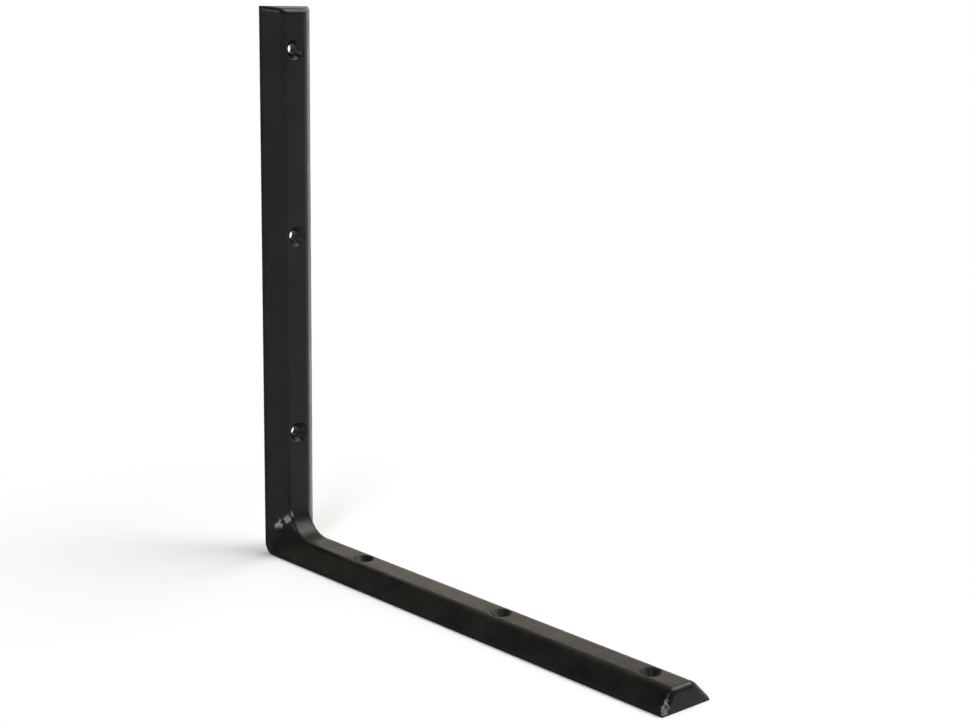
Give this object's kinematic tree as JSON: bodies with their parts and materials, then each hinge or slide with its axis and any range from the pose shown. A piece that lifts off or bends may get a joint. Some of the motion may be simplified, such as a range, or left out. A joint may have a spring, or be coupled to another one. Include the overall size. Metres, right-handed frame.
{
  "type": "shelf bracket",
  "caption": "Pressed-steel L-shaped shelf bracket with channel-section legs, closed ends and dished screw holes along the ridge of each leg, painted black.",
  "frame": {"origin": "outer corner of the L on the middle of its width, where the wall plane meets the shelf plane", "axes": "+X along the arm that takes the shelf, +Z along the leg that is screwed to the wall, Y across the width; the open wall side faces -X and the open shelf side faces -Z"},
  "size_m": [0.25, 0.026, 0.25],
  "materials": {
    "black_paint": "semi-gloss black enamel over pressed steel"
  },
  "bodies": {
    "root": {"bracket": "black_paint"}
  },
  "joints": []
}
